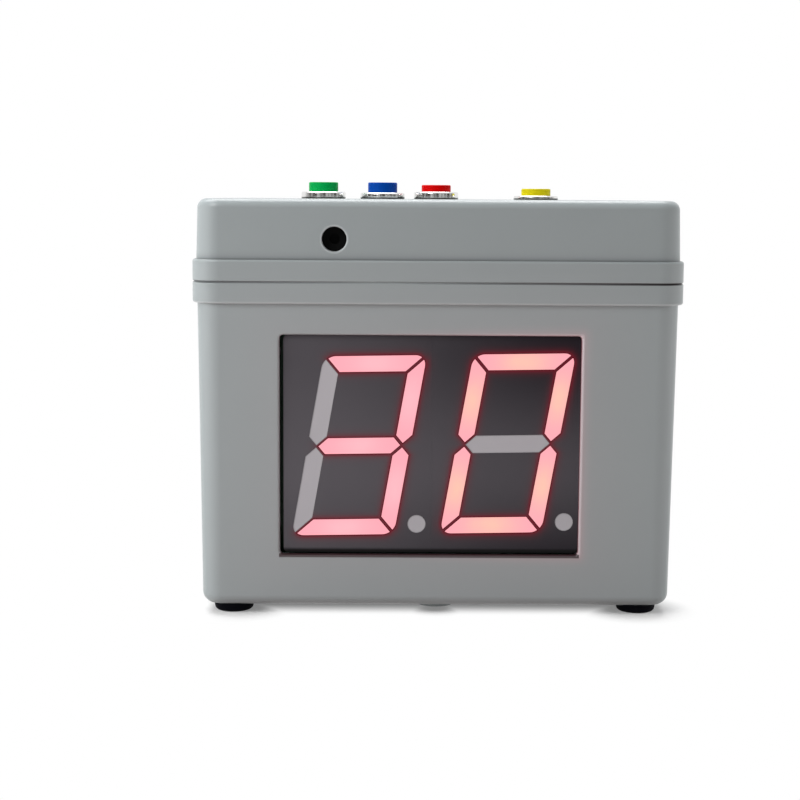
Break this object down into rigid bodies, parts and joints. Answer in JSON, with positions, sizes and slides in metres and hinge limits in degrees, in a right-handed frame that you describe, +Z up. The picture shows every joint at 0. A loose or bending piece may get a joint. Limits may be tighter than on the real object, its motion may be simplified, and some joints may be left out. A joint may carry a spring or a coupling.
{
  "type": "cube game timer",
  "caption": "Box-shaped countdown game timer: grey flanged case with a screwed lid, large red seven-segment digits in a front window and coloured push buttons in chromed bezels on top.",
  "frame": {"origin": "centre of the footprint on the surface that the feet stand on", "axes": "+Z up, the display window faces -Y, +X to the right as seen from the front"},
  "size_m": [0.12, 0.12, 0.1069],
  "materials": {
    "case_plastic": "satin grey moulded plastic",
    "seal_rubber": "soft black rubber",
    "foot_rubber": "matt black rubber",
    "screw_steel": "zinc plated",
    "cap_green": "gloss",
    "cap_blue": "gloss",
    "cap_red": "gloss",
    "cap_yellow": "gloss",
    "white_nylon": "natural nylon",
    "contact_brass": "bare",
    "spring_steel": "drawn wire and strip",
    "bezel_chrome": "polished",
    "switch_black": "moulded",
    "display_face": "dark grey printed face",
    "segment_lit": "lit red diffusing epoxy",
    "segment_dark": "unlit milky epoxy",
    "board_fibre": "green solder mask",
    "pin_tin": "tinned",
    "chip_black": "moulded epoxy",
    "can_aluminium": "drawn can",
    "lead_grey": "insulation",
    "lead_red": "insulation",
    "cell_jacket": "plain printed jacket"
  },
  "bodies": {
    "case": {"body_shell": "case_plastic", "lid_shell": "case_plastic", "lid_gasket": "seal_rubber", "lid_screws": "screw_steel", "rubber_feet": "foot_rubber", "green_spring": "spring_steel", "green_bezel": "bezel_chrome", "green_base": "switch_black", "blue_spring": "spring_steel", "blue_bezel": "bezel_chrome", "blue_base": "switch_black", "red_spring": "spring_steel", "red_bezel": "bezel_chrome", "red_base": "switch_black", "yellow_spring": "spring_steel", "yellow_bezel": "bezel_chrome", "yellow_base": "switch_black", "button_nuts": "screw_steel", "button_terminals": "contact_brass", "left_digit_housing": "display_face", "left_digit_lit_segments": "segment_lit", "left_digit_dark_segments": "segment_dark", "left_digit_led_board": "board_fibre", "left_digit_pins": "pin_tin", "right_digit_housing": "display_face", "right_digit_lit_segments": "segment_lit", "right_digit_dark_segments": "segment_dark", "right_digit_led_board": "board_fibre", "right_digit_pins": "pin_tin", "main_board": "board_fibre", "board_screws": "screw_steel", "controller_chip": "chip_black", "driver_chips": "chip_black", "resistors": "chip_black", "capacitors": "can_aluminium", "lead_sockets": "white_nylon", "lead_plugs": "white_nylon", "button_leads": "lead_grey", "buzzer_leads": "lead_red", "battery_leads": "lead_red", "buzzer_case": "switch_black", "buzzer_pins": "pin_tin", "battery_holder": "switch_black", "battery_cells": "cell_jacket", "battery_contacts": "spring_steel", "holder_screws": "screw_steel"},
    "green_button": {"green_cap": "cap_green", "green_plunger": "white_nylon", "green_contact": "contact_brass"},
    "blue_button": {"blue_cap": "cap_blue", "blue_plunger": "white_nylon", "blue_contact": "contact_brass"},
    "red_button": {"red_cap": "cap_red", "red_plunger": "white_nylon", "red_contact": "contact_brass"},
    "yellow_button": {"yellow_cap": "cap_yellow", "yellow_plunger": "white_nylon", "yellow_contact": "contact_brass"}
  },
  "joints": [
    {"name": "green_press", "type": "slide", "parent": "case", "child": "green_button", "axis": [0, 0, -1], "range_m": [0, 0.0015], "stiffness_N_per_m": 800, "deforming": ["green_spring"]},
    {"name": "blue_press", "type": "slide", "parent": "case", "child": "blue_button", "axis": [0, 0, -1], "range_m": [0, 0.0015], "stiffness_N_per_m": 800, "deforming": ["blue_spring"]},
    {"name": "red_press", "type": "slide", "parent": "case", "child": "red_button", "axis": [0, 0, -1], "range_m": [0, 0.0015], "stiffness_N_per_m": 800, "deforming": ["red_spring"]},
    {"name": "yellow_press", "type": "slide", "parent": "case", "child": "yellow_button", "axis": [0, 0, -1], "range_m": [0, 0.0015], "stiffness_N_per_m": 800, "deforming": ["yellow_spring"]}
  ]
}
